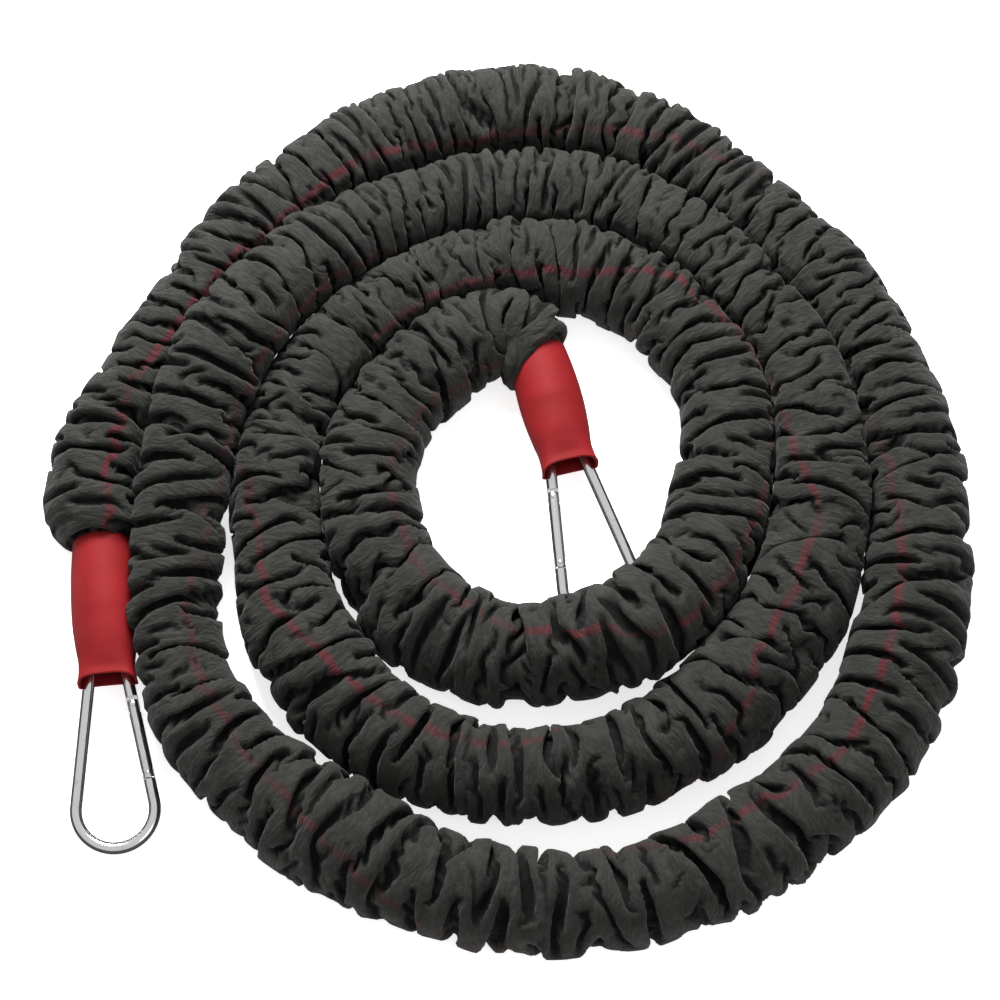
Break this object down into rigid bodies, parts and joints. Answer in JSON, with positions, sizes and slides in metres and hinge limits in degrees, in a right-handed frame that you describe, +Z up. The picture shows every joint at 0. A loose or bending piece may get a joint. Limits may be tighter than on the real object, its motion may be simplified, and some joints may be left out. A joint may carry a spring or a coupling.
{
  "type": "resistance sprint trainer",
  "caption": "Elastic bungee cord in a gathered fabric sleeve, laid in a flat spiral, with a rubber cuff and a sprung snap hook at each end.",
  "frame": {"origin": "centre of the coil's box, on the surface that it lies on", "axes": "+Z up from the surface, +X to the right and +Y away from the viewer in the picture; the outer hook points to -Y"},
  "size_m": [0.3968, 0.4246, 0.0479],
  "materials": {
    "sleeve_fabric": "matt charcoal woven polyester, gathered in folds, with a thin dull red stripe",
    "latex": "matt natural latex",
    "cuff_rubber": "matt red moulded rubber",
    "clamp_steel": "plain pressed steel",
    "plug_plastic": "black moulded nylon",
    "pin_steel": "plain turned steel",
    "tether_webbing": "black braided cord",
    "hook_steel": "polished round wire",
    "gate_steel": "polished round bar",
    "spring_steel": "plain spring wire"
  },
  "bodies": {
    "trainer": {"sleeve": "sleeve_fabric", "core_strand_1": "latex", "core_strand_2": "latex", "core_strand_3": "latex", "outer_cuff": "cuff_rubber", "outer_sleeve_clamp": "clamp_steel", "outer_anchor_plug": "plug_plastic", "outer_anchor_pin": "pin_steel", "outer_tether_loop": "tether_webbing", "inner_cuff": "cuff_rubber", "inner_sleeve_clamp": "clamp_steel", "inner_anchor_plug": "plug_plastic", "inner_anchor_pin": "pin_steel", "inner_tether_loop": "tether_webbing"},
    "outer_hook": {"outer_hook_body": "hook_steel", "outer_hinge_rivet": "pin_steel"},
    "outer_hook_gate": {"outer_gate": "gate_steel", "outer_latch_pin": "pin_steel", "outer_gate_spring": "spring_steel", "outer_gate_plunger": "pin_steel"},
    "inner_hook": {"inner_hook_body": "hook_steel", "inner_hinge_rivet": "pin_steel"},
    "inner_hook_gate": {"inner_gate": "gate_steel", "inner_latch_pin": "pin_steel", "inner_gate_spring": "spring_steel", "inner_gate_plunger": "pin_steel"}
  },
  "joints": [
    {"name": "outer_hook_tilt", "type": "hinge", "parent": "trainer", "child": "outer_hook", "pos_m": [-0.1707, -0.06902, 0.01434], "axis": [-0.9954, -0.0958, 0], "range_deg": [0, 14]},
    {"name": "outer_gate_swing", "type": "hinge", "parent": "outer_hook", "child": "outer_hook_gate", "pos_m": [-0.15753, -0.10192, 0.01006], "axis": [-0.0119, 0.124, -0.9922], "range_deg": [0, 24], "stiffness_Nm_per_rad": 0.02, "springref_deg": -20.05},
    {"name": "inner_hook_tilt", "type": "hinge", "parent": "trainer", "child": "inner_hook", "pos_m": [0.02217, 0.03072, 0.01434], "axis": [-0.9703, -0.2419, 0], "range_deg": [0, 2]},
    {"name": "inner_gate_swing", "type": "hinge", "parent": "inner_hook", "child": "inner_hook_gate", "pos_m": [0.02074, -0.00469, 0.01006], "axis": [0.0301, -0.1209, 0.9922], "range_deg": [0, 24], "stiffness_Nm_per_rad": 0.02, "springref_deg": -20.05}
  ]
}
